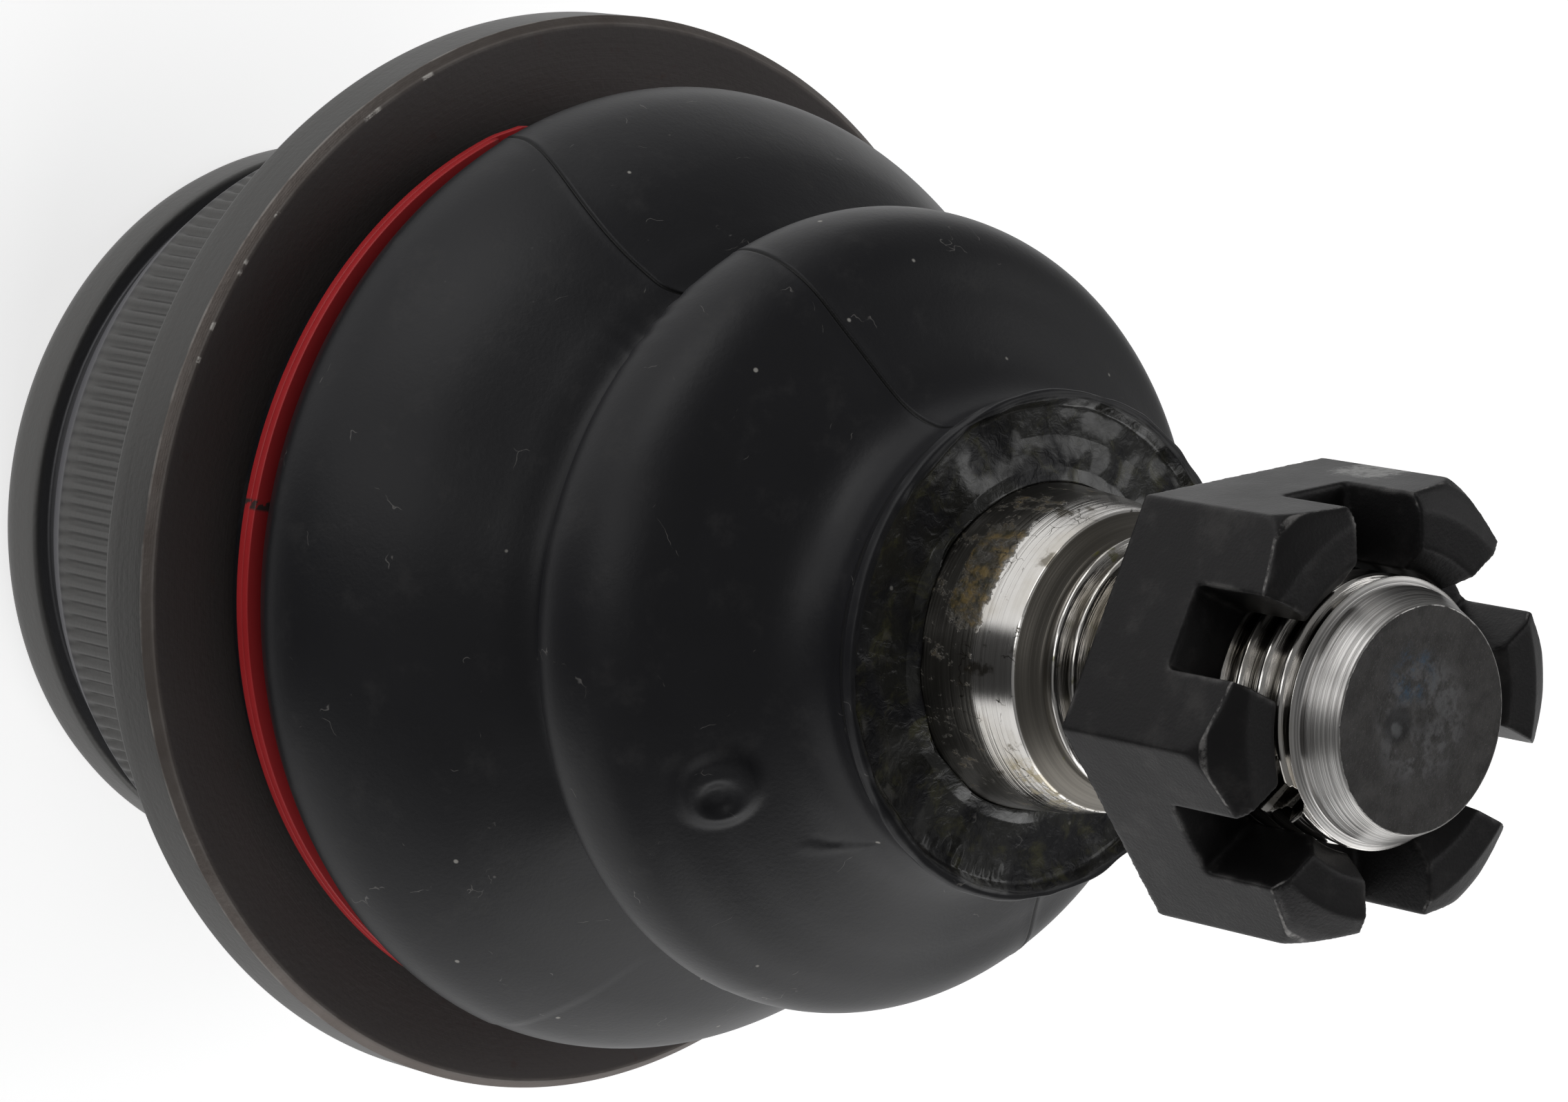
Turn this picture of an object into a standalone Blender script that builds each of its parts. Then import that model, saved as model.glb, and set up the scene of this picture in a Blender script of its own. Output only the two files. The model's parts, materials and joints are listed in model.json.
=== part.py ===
"""Press-in suspension ball joint with a flanged housing, a rubber dust boot and a castle nut.

Units are metres, +Z runs up the stud, and the origin is the middle of the base.
The radii and heights below are in millimetres, with heights measured from the ball centre.
Every piece hangs on an empty at that centre, which is also where the stud swings.
"""

import math

import bmesh
import bpy

MM = 0.001
SIDES = 36              # facets round every turned piece
GAP = 0.3               # clearance between neighbouring pieces
BALL_HEIGHT = 19.5      # ball centre above the base

# Ball and stud
BALL_R = 13.5
BALL_FLAT_R = 4.2       # flat turned on the underside of the ball
NECK_R = 7.0
NECK_TOP_Z = 20.0
SHANK_R = 9.05          # straight part inside the boot collar
SHANK_Z = 30.0
TAPER_Z = 46.0          # large end of the taper
TAPER_TOP_Z = 56.0
TAPER_RATIO = 6.0       # length over change in diameter
THREAD_R = 7.0          # M14 x 1.5
THREAD_Z = 56.8
PILOT_Z = 74.4          # the thread ends here
PILOT_R = 6.6
STUD_END_Z = 76.5
STUD_END_R = 6.0
PIN_HOLE_R = 1.9        # cross hole for a split pin
PIN_HOLE_Z = 71.8

# Castle nut
NUT_ACROSS_FLATS = 22.0
NUT_SEAT_Z = 63.6
NUT_HEIGHT = 11.0
NUT_SLOT_DEPTH = 5.2
NUT_SLOT_WIDTH = 4.5
NUT_BORE_R = THREAD_R + GAP
NUT_MOUTH_R = 8.5       # countersink at each end of the bore
NUT_CROWN_R = 10.4      # where the 30 degree chamfer meets the top
PIN_AZIMUTH = 150.0     # slot direction that the cross hole lines up with

# Housing
FLANGE_Z = 10.0         # front face of the flange
FLANGE_THICKNESS = 4.1
FLANGE_R = 31.4
FLANGE_BEVEL = 0.7
BODY_R = 23.2           # over the press-fit ribs
BODY_END_Z = -10.5
BODY_BEVEL_R = 22.6
GROOVE_Z = (-15.0, -12.3)
GROOVE_R = 20.8
RIM_R = 22.0
RIM_CORNER_R = 3.0      # rounded edge of the closed end
BASE_Z = -BALL_HEIGHT
BORE_R = 16.5           # bore that holds the two bearings
SEAT_EDGE_ANGLE = 52.0  # angle from +Z where the spherical seat ends
MOUTH_R = 16.6
MOUTH_Z = 15.6
NOSE_R = 22.6           # raised nose that the boot sits on
NOSE_GROOVE_R = 21.6
NOSE_GROOVE_Z = (10.6, 13.2)    # holds the bead inside the boot's foot
CAP_BORE_R = 18.5
CAP_LEDGE_Z = -16.6
ROLLED_LIP_R = 16.2
ROLLED_LIP_Z = -18.4

# Bearings, spring and end cap
LINER_R = BORE_R - GAP          # outside of both bearings
CUP_R = BALL_R + GAP            # spherical inside of both bearings
UPPER_EDGE_ANGLE = 58.0
BEARING_SPLIT_Z = (-2.9, -2.3)  # top of the lower bearing, foot of the upper one
LOWER_BEARING_FOOT_Z = -15.3
GREASE_HOLE_R = 4.0
SPRING_R = (7.0, 15.5)
SPRING_THICKNESS = 0.5
CAP_R = CAP_BORE_R - GAP
CAP_TOP_Z = -16.9
CAP_FOOT_Z = -18.1

# Boot and its two rings
BOOT_FOOT_Z = FLANGE_Z + GAP
BOOT_FOOT_R = 26.5
RING_R = (25.5, 26.7)
RING_Z = (11.5, 12.5)
LOWER_FOLD = (27.7, 16.5)       # radius and height of the crest
WAIST = (19.5, 29.8)
UPPER_FOLD = (22.4, 33.9)
NECK_OF_BOOT = (13.0, 45.6)
LIP_R = 13.9
LIP_Z = 48.8
LIP_MOUTH_R = 10.7
BOOT_WALL = 2.0
COLLAR_BORE_R = SHANK_R + GAP
COLLAR_RING_R = (9.8, 11.4)
COLLAR_RING_Z = (44.7, 46.6)


def clear_scene():
    """Start from an empty file."""
    for obj in list(bpy.data.objects):
        bpy.data.objects.remove(obj, do_unlink=True)


def material(name, colour, roughness, metallic):
    """A Principled material with one colour."""
    mat = bpy.data.materials.new(name)
    mat.use_nodes = True
    shader = mat.node_tree.nodes["Principled BSDF"]
    shader.inputs["Base Color"].default_value = (*colour, 1.0)
    shader.inputs["Roughness"].default_value = roughness
    shader.inputs["Metallic"].default_value = metallic
    return mat


def arc(radius, start, end, steps, centre=(0.0, 0.0)):
    """Profile points on a circle; angles in degrees from +Z towards +X."""
    points = []
    for i in range(steps + 1):
        angle = math.radians(start + (end - start) * i / steps)
        points.append((centre[0] + radius * math.sin(angle), centre[1] + radius * math.cos(angle)))
    return points


def make_ball_centre():
    """The empty that carries every piece."""
    empty = bpy.data.objects.new("ball_centre", None)
    empty.location.z = BALL_HEIGHT * MM
    bpy.context.collection.objects.link(empty)


def link(name, mesh):
    """A new object for a mesh, hung on the ball centre."""
    obj = bpy.data.objects.new(name, mesh)
    obj.parent = bpy.data.objects["ball_centre"]
    bpy.context.collection.objects.link(obj)
    return obj


def add_object(name, mesh, mat):
    """Link a mesh into the scene with smooth shading and sharp corners."""
    mesh.materials.append(mat)
    mesh.shade_smooth()
    mesh.set_sharp_from_angle(angle=math.radians(30))
    return link(name, mesh)


def turned(name, profile, mat, sides=SIDES):
    """Spin a closed (radius, height) outline in millimetres about Z into one closed solid."""
    bm = bmesh.new()
    verts = [bm.verts.new((r * MM, 0.0, z * MM)) for r, z in profile]
    edges = []
    for first, second in zip(verts, verts[1:] + verts[:1]):
        on_axis = first.co.x == 0.0 and second.co.x == 0.0
        if not on_axis:
            edges.append(bm.edges.new((first, second)))
    bmesh.ops.spin(
        bm, geom=verts + edges, cent=(0, 0, 0), axis=(0, 0, 1), angle=2 * math.pi, steps=sides
    )
    bmesh.ops.remove_doubles(bm, verts=bm.verts, dist=1e-6)
    bmesh.ops.recalc_face_normals(bm, faces=bm.faces)
    mesh = bpy.data.meshes.new(name)
    bm.to_mesh(mesh)
    bm.free()
    return add_object(name, mesh, mat)


def cutter(obj):
    """Mark an object as a tool for a Boolean."""
    obj.hide_render = True
    obj.display_type = "WIRE"
    return obj


def boolean(obj, tool, operation):
    """Add an exact Boolean to an object."""
    modifier = obj.modifiers.new(tool.name, "BOOLEAN")
    modifier.operation = operation
    modifier.object = tool
    modifier.solver = "EXACT"


def make_housing(mat):
    """Steel housing: rolled rim, snap-ring groove, press-fit body, flange, boot nose, ball seat."""
    flange_back = FLANGE_Z - FLANGE_THICKNESS
    rim = [(ROLLED_LIP_R, BASE_Z)]
    rim += arc(RIM_CORNER_R, 180, 90, 4, (RIM_R - RIM_CORNER_R, BASE_Z + RIM_CORNER_R))
    groove = [
        (RIM_R, GROOVE_Z[0]),
        (GROOVE_R, GROOVE_Z[0]),
        (GROOVE_R, GROOVE_Z[1]),
        (BODY_BEVEL_R, GROOVE_Z[1]),
        (BODY_R, BODY_END_Z),
    ]
    flange = [
        (BODY_R, flange_back),
        (FLANGE_R, flange_back),
        (FLANGE_R, FLANGE_Z - FLANGE_BEVEL),
        (FLANGE_R - FLANGE_BEVEL, FLANGE_Z),
    ]
    nose_bevel = 1.0
    nose = [
        (NOSE_R, FLANGE_Z),
        (NOSE_R, NOSE_GROOVE_Z[0]),
        (NOSE_GROOVE_R, NOSE_GROOVE_Z[0]),
        (NOSE_GROOVE_R, NOSE_GROOVE_Z[1]),
        (NOSE_R, NOSE_GROOVE_Z[1]),
        (NOSE_R, MOUTH_Z - nose_bevel),
        (NOSE_R - nose_bevel, MOUTH_Z),
        (MOUTH_R, MOUTH_Z),
    ]
    seat = arc(BORE_R, SEAT_EDGE_ANGLE, 90, 4)
    inside = [
        (BORE_R, CAP_LEDGE_Z),
        (CAP_BORE_R, CAP_LEDGE_Z),
        (CAP_BORE_R, ROLLED_LIP_Z),
        (ROLLED_LIP_R, ROLLED_LIP_Z),
    ]
    return turned("housing", rim + groove + flange + nose + seat + inside, mat)


def make_end_cap(mat):
    """Pressed cover plate with a shallow stiffening dish, held by the rolled rim."""
    dish = 0.6
    profile = [
        (0.0, CAP_FOOT_Z - dish),
        (8.0, CAP_FOOT_Z - dish),
        (9.5, CAP_FOOT_Z),
        (CAP_R, CAP_FOOT_Z),
        (CAP_R, CAP_TOP_Z),
        (10.2, CAP_TOP_Z),
        (8.7, CAP_TOP_Z - dish),
        (0.0, CAP_TOP_Z - dish),
    ]
    return turned("end_cap", profile, mat)


def make_preload_spring(mat):
    """Conical disc spring between the lower bearing and the end cap."""
    inner, outer = SPRING_R
    top = LOWER_BEARING_FOOT_Z - GAP
    foot = CAP_TOP_Z + GAP
    profile = [
        (inner, top - SPRING_THICKNESS),
        (outer, foot),
        (outer, foot + SPRING_THICKNESS),
        (inner, top),
    ]
    return turned("preload_spring", profile, mat)


def make_lower_bearing(mat):
    """Cup under the ball, pushed up by the spring."""
    top = BEARING_SPLIT_Z[0]
    start = math.degrees(math.acos(top / CUP_R))
    end = 180.0 - math.degrees(math.asin(GREASE_HOLE_R / CUP_R))
    cup = arc(CUP_R, start, end, 7)
    body = [
        (GREASE_HOLE_R, LOWER_BEARING_FOOT_Z),
        (LINER_R - 1.0, LOWER_BEARING_FOOT_Z),
        (LINER_R, LOWER_BEARING_FOOT_Z + 1.0),
        (LINER_R, top),
    ]
    return turned("lower_bearing", cup + body, mat)


def make_upper_bearing(mat):
    """Ring-shaped seat over the ball, inside the spherical seat of the housing."""
    foot = BEARING_SPLIT_Z[1]
    outside = arc(LINER_R, 90, UPPER_EDGE_ANGLE, 4)
    inside = arc(CUP_R, UPPER_EDGE_ANGLE, 90, 4)
    return turned("upper_bearing", [(LINER_R, foot)] + outside + inside + [(CUP_R, foot)], mat)


def taper_radius(z):
    """Radius of the stud taper at a height."""
    return SHANK_R - (z - TAPER_Z) / (2.0 * TAPER_RATIO)


def make_ball_stud(mat):
    """Ball, neck, tapered shank and threaded end, forged and turned in one piece."""
    neck_angle = math.degrees(math.asin(NECK_R / BALL_R))
    flat_angle = 180.0 - math.degrees(math.asin(BALL_FLAT_R / BALL_R))
    ball = arc(BALL_R, flat_angle, neck_angle, 11)
    shank = [
        (NECK_R, NECK_TOP_Z),
        (SHANK_R, SHANK_Z),
        (SHANK_R, TAPER_Z),
        (taper_radius(TAPER_TOP_Z), TAPER_TOP_Z),
        (THREAD_R, THREAD_Z),
    ]
    end = [
        (THREAD_R, PILOT_Z - 0.4),
        (PILOT_R, PILOT_Z),
        (STUD_END_R, STUD_END_Z),
        (0.0, STUD_END_Z),
    ]
    stud = turned("ball_stud", [(0.0, ball[0][1])] + ball + shank + end, mat)
    reach = THREAD_R + 5.0
    rod = [(0, -reach), (PIN_HOLE_R, -reach), (PIN_HOLE_R, reach), (0, reach)]
    drill = turned("pin_hole_cutter", rod, mat, 16)
    drill.location.z = PIN_HOLE_Z * MM
    drill.rotation_euler = (0.0, math.radians(90), math.radians(PIN_AZIMUTH))
    boolean(stud, cutter(drill), "DIFFERENCE")
    return stud


def make_castle_nut(mat):
    """Hexagon nut with a chamfered crown and a slot through the middle of each flat."""
    corner_r = NUT_ACROSS_FLATS / math.sqrt(3)
    top = NUT_SEAT_Z + NUT_HEIGHT
    hexagon = [(0, NUT_SEAT_Z), (corner_r, NUT_SEAT_Z), (corner_r, top), (0, top)]
    nut = turned("castle_nut", hexagon, mat, 6)

    blank_r = corner_r + GAP
    foot = NUT_SEAT_Z - 0.01
    countersink = NUT_MOUTH_R - NUT_BORE_R
    chamfer = (blank_r - NUT_CROWN_R) * math.tan(math.radians(30))
    blank = turned(
        "nut_blank_cutter",
        [
            (NUT_MOUTH_R, foot),
            (blank_r, foot),
            (blank_r, top - chamfer),
            (NUT_CROWN_R, top),
            (NUT_MOUTH_R, top),
            (NUT_BORE_R, top - countersink),
            (NUT_BORE_R, NUT_SEAT_Z + countersink),
        ],
        mat,
    )
    boolean(nut, cutter(blank), "INTERSECT")
    for k in range(3):
        slot = make_slot_cutter("slot_cutter_%d" % k, 30.0 + 60.0 * k, top)
        boolean(nut, cutter(slot), "DIFFERENCE")
    return nut


def make_slot_cutter(name, azimuth, top):
    """A bar that cuts one slot on each side of the nut."""
    bm = bmesh.new()
    bmesh.ops.create_cube(bm, size=1.0)
    bmesh.ops.scale(
        bm, vec=(40 * MM, NUT_SLOT_WIDTH * MM, 2 * NUT_SLOT_DEPTH * MM), verts=bm.verts
    )
    mesh = bpy.data.meshes.new(name)
    bm.to_mesh(mesh)
    bm.free()
    bar = link(name, mesh)
    bar.location.z = top * MM
    bar.rotation_euler.z = math.radians(azimuth)
    return bar


def make_dust_boot(mat):
    """Rubber bellows with two folds, a foot under the retaining ring and a lip round the stud."""
    outside = [
        (BOOT_FOOT_R, BOOT_FOOT_Z),
        (BOOT_FOOT_R, RING_Z[0] - GAP),
        (RING_R[0] - GAP, RING_Z[0] - GAP),
        (RING_R[0] - GAP, RING_Z[1] + GAP),
        (26.4, 13.4),
        LOWER_FOLD,
        (27.0, 19.6),
        (24.6, 23.8),
        (21.0, 27.8),
        WAIST,
        (20.8, 31.3),
        UPPER_FOLD,
        (21.7, 37.4),
        (17.9, 40.7),
        (14.0, 43.5),
        NECK_OF_BOOT,
        (13.2, 47.4),
        (LIP_R, 48.2),
        (LIP_R, LIP_Z),
    ]
    collar = [
        (LIP_MOUTH_R, LIP_Z),
        (COLLAR_BORE_R, LIP_Z - 1.2),
        (COLLAR_BORE_R, COLLAR_RING_Z[1] + GAP),
        (COLLAR_RING_R[1] + GAP, COLLAR_RING_Z[1] + GAP),
        (COLLAR_RING_R[1] + GAP, COLLAR_RING_Z[0] - GAP),
        (COLLAR_BORE_R, COLLAR_RING_Z[0] - GAP),
        (COLLAR_BORE_R, 42.4),
    ]
    inside = [
        (17.2, 39.6),
        (UPPER_FOLD[0] - BOOT_WALL, 36.0),
        (UPPER_FOLD[0] - BOOT_WALL, UPPER_FOLD[1] - 0.6),
        (WAIST[0] - BOOT_WALL, WAIST[1]),
        (22.8, 23.0),
        (LOWER_FOLD[0] - BOOT_WALL, 18.4),
        (24.9, MOUTH_Z - 0.4),
        (NOSE_R + GAP, MOUTH_Z - 1.2),
    ]
    bead = [
        (NOSE_R + GAP, NOSE_GROOVE_Z[1] - GAP),
        (NOSE_GROOVE_R + GAP, NOSE_GROOVE_Z[1] - GAP),
        (NOSE_GROOVE_R + GAP, NOSE_GROOVE_Z[0] + GAP),
        (NOSE_R + GAP, NOSE_GROOVE_Z[0] + GAP),
        (NOSE_R + GAP, BOOT_FOOT_Z),
    ]
    return turned("dust_boot", outside + collar + inside + bead, mat)


def make_square_ring(name, radii, heights, mat):
    """Ring with a rectangular section."""
    inner, outer = radii
    low, high = heights
    return turned(name, [(inner, low), (outer, low), (outer, high), (inner, high)], mat)


def build():
    clear_scene()
    make_ball_centre()
    make_housing(material("housing_steel", (0.10, 0.095, 0.09), 0.5, 0.8))
    make_end_cap(material("end_cap_steel", (0.12, 0.115, 0.11), 0.5, 0.8))
    make_preload_spring(material("spring_steel", (0.25, 0.25, 0.26), 0.35, 1.0))
    bearing = material("bearing_plastic", (0.75, 0.73, 0.66), 0.45, 0.0)
    make_lower_bearing(bearing)
    make_upper_bearing(bearing)
    make_ball_stud(material("stud_steel", (0.62, 0.60, 0.56), 0.28, 1.0))
    make_castle_nut(material("nut_phosphate", (0.07, 0.068, 0.066), 0.6, 0.7))
    make_dust_boot(material("boot_rubber", (0.035, 0.035, 0.038), 0.5, 0.0))
    red_coat = material("red_coat", (0.65, 0.03, 0.03), 0.4, 0.0)
    make_square_ring("boot_retaining_ring", RING_R, RING_Z, red_coat)
    collar_steel = material("collar_steel", (0.4, 0.4, 0.4), 0.4, 1.0)
    make_square_ring("boot_collar_ring", COLLAR_RING_R, COLLAR_RING_Z, collar_steel)


build()
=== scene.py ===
"""Visual model of a press-in suspension ball joint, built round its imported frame.

Lengths are in millimetres unless a name says otherwise. Heights (z) are above the ball centre,
azimuths are in degrees from +X towards +Y. The mesh builders turn them into the frame's metres.
"""

import functools
import json
import math
import operator

import bpy
import numpy as np
from mathutils import Euler, Matrix, Vector


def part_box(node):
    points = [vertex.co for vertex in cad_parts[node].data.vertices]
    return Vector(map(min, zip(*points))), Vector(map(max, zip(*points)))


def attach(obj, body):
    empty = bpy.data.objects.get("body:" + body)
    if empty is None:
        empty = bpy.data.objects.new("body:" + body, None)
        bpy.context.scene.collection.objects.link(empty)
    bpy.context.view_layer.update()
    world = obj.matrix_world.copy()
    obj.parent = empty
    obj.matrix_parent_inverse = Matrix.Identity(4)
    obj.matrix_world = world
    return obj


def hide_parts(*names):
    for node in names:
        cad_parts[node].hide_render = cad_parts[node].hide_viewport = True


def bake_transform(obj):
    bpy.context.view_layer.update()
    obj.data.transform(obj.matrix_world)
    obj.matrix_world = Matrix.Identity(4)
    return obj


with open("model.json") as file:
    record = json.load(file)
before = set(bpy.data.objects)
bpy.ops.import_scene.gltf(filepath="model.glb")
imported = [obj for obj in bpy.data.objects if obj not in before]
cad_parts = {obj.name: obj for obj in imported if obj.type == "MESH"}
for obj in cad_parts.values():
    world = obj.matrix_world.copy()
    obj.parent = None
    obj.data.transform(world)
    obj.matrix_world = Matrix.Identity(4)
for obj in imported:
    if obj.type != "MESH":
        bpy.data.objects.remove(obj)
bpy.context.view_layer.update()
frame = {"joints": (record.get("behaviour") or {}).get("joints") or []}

MM = 0.001
SQUARE = ((-1, -1), (1, -1), (1, 1), (-1, 1))
SWING = next(joint for joint in frame["joints"] if joint["name"] == "stud_swing")
BALL_HEIGHT = SWING["pos_m"][2] / MM


def extent(node):
    """Largest radius, foot and top of a CAD node."""
    low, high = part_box(node)
    return high.x / MM, low.z / MM - BALL_HEIGHT, high.z / MM - BALL_HEIGHT


FLANGE_R, BASE_Z, MOUTH_Z = extent("housing")
FOLD_R, BOOT_FOOT_Z, LIP_Z = extent("dust_boot")
RING_R, RING_FOOT_Z, RING_TOP_Z = extent("boot_retaining_ring")
NUT_CORNER_R, NUT_SEAT_Z, NUT_TOP_Z = extent("castle_nut")
BALL_R, BALL_FOOT_Z, STUD_END_Z = extent("ball_stud")
CAP_R, CAP_FOOT_Z, CAP_TOP_Z = extent("end_cap")
LINER_R, LINER_FOOT_Z, LINER_SPLIT_Z = extent("lower_bearing")
UPPER_FOOT_Z = extent("upper_bearing")[1]
SPRING_R, SPRING_FOOT_Z, SPRING_TOP_Z = extent("preload_spring")
COLLAR_RING_R, COLLAR_FOOT_Z, COLLAR_TOP_Z = extent("boot_collar_ring")

# Housing
FLANGE_Z = 10.0
FLANGE_THICKNESS = 4.1
FLANGE_BEVEL = 0.48
BODY_R = 23.2
RIB_COUNT = 176
RIB_DEPTH = 0.28
RIB_START_Z = -10.9
GROOVE_R = 21.0
GROOVE_Z = (-15.2, -12.9)
RIM_R = 22.0
RIM_CORNER_R = 3.5
NOSE_R = 22.6  # collar in front of the flange that the boot's foot sits on
NOSE_GROOVE_R = 21.6
NOSE_GROOVE_Z = (10.6, 13.2)
MOUTH_R = 16.6
MOUTH_EDGE = (13.0, 10.16)  # radius and height where the mouth's cone meets the round seat
BORE_R = 16.5
BORE_FOOT_Z = -16.6  # step that the end cap lies against
CAP_BORE_R = 18.5
RIM_LIP_R = 16.2  # inside the rolled lip that holds the cap
RIM_LIP_Z = -18.4
# azimuth and half width of each chip in the flange's bevel
FLANGE_CHIPS = ((-93.7, 0.6), (-100.6, 1.1), (-89.9, 0.4), (-107.5, 0.7), (-123.0, 1.4), (-131.0, 0.9))

# Stud
NECK_R = 7.0
SHANK_R = 9.05
TAPER_Z = 46.0
TAPER_CHAMFER_Z = 52.3
TAPER_TOP_Z = 54.9
TAPER_TOP_R = 8.06
TURNING_PITCH = 0.33
THREAD_R = 7.0
THREAD_PITCH = 1.5
THREAD_DEPTH = 0.86
THREAD_Z = (56.0, 74.0)
PILOT_R = 6.6
STUD_END_R = 5.85
PIN_HOLE_R = 1.9
PIN_HOLE_Z = 71.8
PIN_AZIMUTH = 150.0
PIT_AT = (0.75, -1.45)  # x, y of the dent in the end face

# Nut
NUT_BORE_R = 7.3
NUT_MOUTH_R = 8.5
NUT_CROWN_R = 10.4
NUT_CROWN_FILLET = 2.5
NUT_SLOT_WIDTH = 4.5
NUT_SLOT_DEPTH = 5.2
NUT_VOXEL = 0.15
NUT_ROUNDING = 6  # smoothing passes that round its edges

# Boot
SEAMS = ((-130.5, 5.5), (49.5, -5.5))  # azimuth of each parting line, and its shift at the waist
SEAM_Z = (14.5, 47.0)
BOSS_AZIMUTH = -40.1  # raised gate mark with a hollow in it, on the upper fold
BOSS_Z = 40.9
BOSS_R = 2.45
CRATER_R = 1.2
CREASE_AZIMUTHS = (-23.0, -12.0)
CREASE_Z = (42.7, 44.6)
LIP_FACE_R = 13.2
LIP_BORE_R = 9.1

# Red ring
RING_INNER_R = 25.5
RING_END_AZIMUTH = -133.5  # where the front turn starts
RING_LIFT = 0.45  # how far it sits above the CAD's ring
RING_JOG = 4.0  # degrees over which the strip steps to the other layer
RING_TUCK = 0.6  # how far it sits deeper in its groove beyond the jog


# ---- outlines


def arc(radius, start, end, steps):
    """Points on a circle about the ball centre; angles in degrees from +Z towards +X."""
    angles = np.radians(np.linspace(start, end, steps + 1))
    return [(radius * math.sin(a), radius * math.cos(a)) for a in angles]


def densify(points, step, closed):
    """Add points on long straight stretches."""
    ends = points[1:] + points[:1] if closed else points[1:]
    dense = []
    for start, end in zip(points, ends):
        pieces = max(1, math.ceil(math.dist(start, end) / step))
        for k in range(pieces):
            t = k / pieces
            dense.append((start[0] + (end[0] - start[0]) * t, start[1] + (end[1] - start[1]) * t))
    if not closed:
        dense.append(points[-1])
    return dense


def rounded(corners, step, closed=True, turns=4):
    """Outline through corners (radius, z) or (radius, z, fillet radius)."""
    points = []
    count = len(corners)
    for i, corner in enumerate(corners):
        here = Vector(corner[:2])
        fillet = corner[2] if len(corner) > 2 else 0.0
        if fillet == 0.0 or (not closed and i in (0, count - 1)):
            points.append(tuple(here))
            continue
        back = Vector(corners[i - 1][:2]) - here
        ahead = Vector(corners[(i + 1) % count][:2]) - here
        half = back.angle(ahead) / 2
        reach = min(fillet / math.tan(half), 0.48 * back.length, 0.48 * ahead.length)
        radius = reach * math.tan(half)
        centre = here + (back.normalized() + ahead.normalized()).normalized() * radius / math.sin(half)
        first = here + back.normalized() * reach - centre
        last = here + ahead.normalized() * reach - centre
        sweep = first.angle_signed(last)
        steps = max(turns, math.ceil(abs(math.degrees(sweep)) / 14.0)) if radius > 1.0 else turns
        for k in range(steps + 1):
            spoke = first.copy()
            spoke.rotate(Matrix.Rotation(-sweep * k / steps, 2))
            points.append(tuple(centre + spoke))
    return densify(points, step, closed)


def smooth(points, step):
    """Catmull-Rom curve through the points."""
    points = [np.array(p, float) for p in points]
    padded = [2 * points[0] - points[1]] + points + [2 * points[-1] - points[-2]]
    curve = []
    for a, b, c, d in zip(padded, padded[1:], padded[2:], padded[3:]):
        pieces = max(1, math.ceil(np.linalg.norm(c - b) / step))
        for t in np.arange(pieces) / pieces:
            bend = (2 * a - 5 * b + 4 * c - d) * t**2 + (3 * b - a - 3 * c + d) * t**3
            curve.append(tuple(b + 0.5 * ((c - a) * t + bend)))
    curve.append(tuple(points[-1]))
    return curve


# ---- meshes


def lattice(ix, iy, iz, seed):
    """Repeatable random values from -1 to 1 at whole-numbered points."""
    n = (ix * 374761393 + iy * 668265263 + iz * 1442695041 + seed * 1274126177) & 0xFFFFFFFF
    n = ((n ^ (n >> 13)) * 1274126177) & 0xFFFFFFFF
    return ((n ^ (n >> 16)) & 0xFFFFFFFF) / 0x7FFFFFFF - 1.0


def lumps(x, y, z, size, seed=0):
    """Smooth noise from -1 to 1, with lumps about size across."""
    p = np.stack(np.broadcast_arrays(x, y, z)) / size
    cell = np.floor(p).astype(np.int64)
    f = p - cell
    f = f * f * (3 - 2 * f)
    total = 0.0
    for dx, dy, dz in np.ndindex(2, 2, 2):
        weight = (f[0] if dx else 1 - f[0]) * (f[1] if dy else 1 - f[1]) * (f[2] if dz else 1 - f[2])
        total = total + weight * lattice(cell[0] + dx, cell[1] + dy, cell[2] + dz, seed)
    return total


def step_up(value, low, high):
    """0 below low, 1 above high, smooth between."""
    t = np.clip((value - low) / (high - low), 0.0, 1.0)
    return t * t * (3 - 2 * t)


def between(value, rise, fall):
    """0 below rise, 1 from its end to the start of fall, 0 above fall."""
    return step_up(value, *rise) * (1.0 - step_up(value, *fall))


def bump_at(value, centre, width):
    """1 at the centre, fading to 0 at width away."""
    return 1.0 - step_up(np.abs(value - centre), 0.0, width)


def angle_off(azimuth, target):
    """Signed difference of two azimuths in degrees."""
    return (azimuth - target + 180.0) % 360.0 - 180.0


def cartesian(r, azimuth):
    """x and y of points at a radius and an azimuth in degrees."""
    angle = np.radians(azimuth)
    return r * np.cos(angle), r * np.sin(angle)


def new_object(name, verts, faces):
    """An object from points in millimetres about the ball centre."""
    mesh = bpy.data.meshes.new(name)
    placed = (np.asarray(verts, float) + (0.0, 0.0, BALL_HEIGHT)) * MM
    mesh.from_pydata(placed.tolist(), [], faces)
    mesh.validate()
    mesh.shade_smooth()
    obj = bpy.data.objects.new(name, mesh)
    bpy.context.scene.collection.objects.link(obj)
    return obj


def columns_with(count, *fine_places):
    """Even azimuths, with closer ones within half_width of each (azimuth, half_width, step)."""
    azimuths = np.arange(count) * 360.0 / count
    for place, half_width, step in fine_places:
        close = place + np.arange(-half_width, half_width + step / 2, step)
        azimuths = azimuths[np.abs(angle_off(azimuths, place)) > half_width + step]
        azimuths = np.concatenate([azimuths, close % 360.0])
    return np.sort(azimuths)


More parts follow.
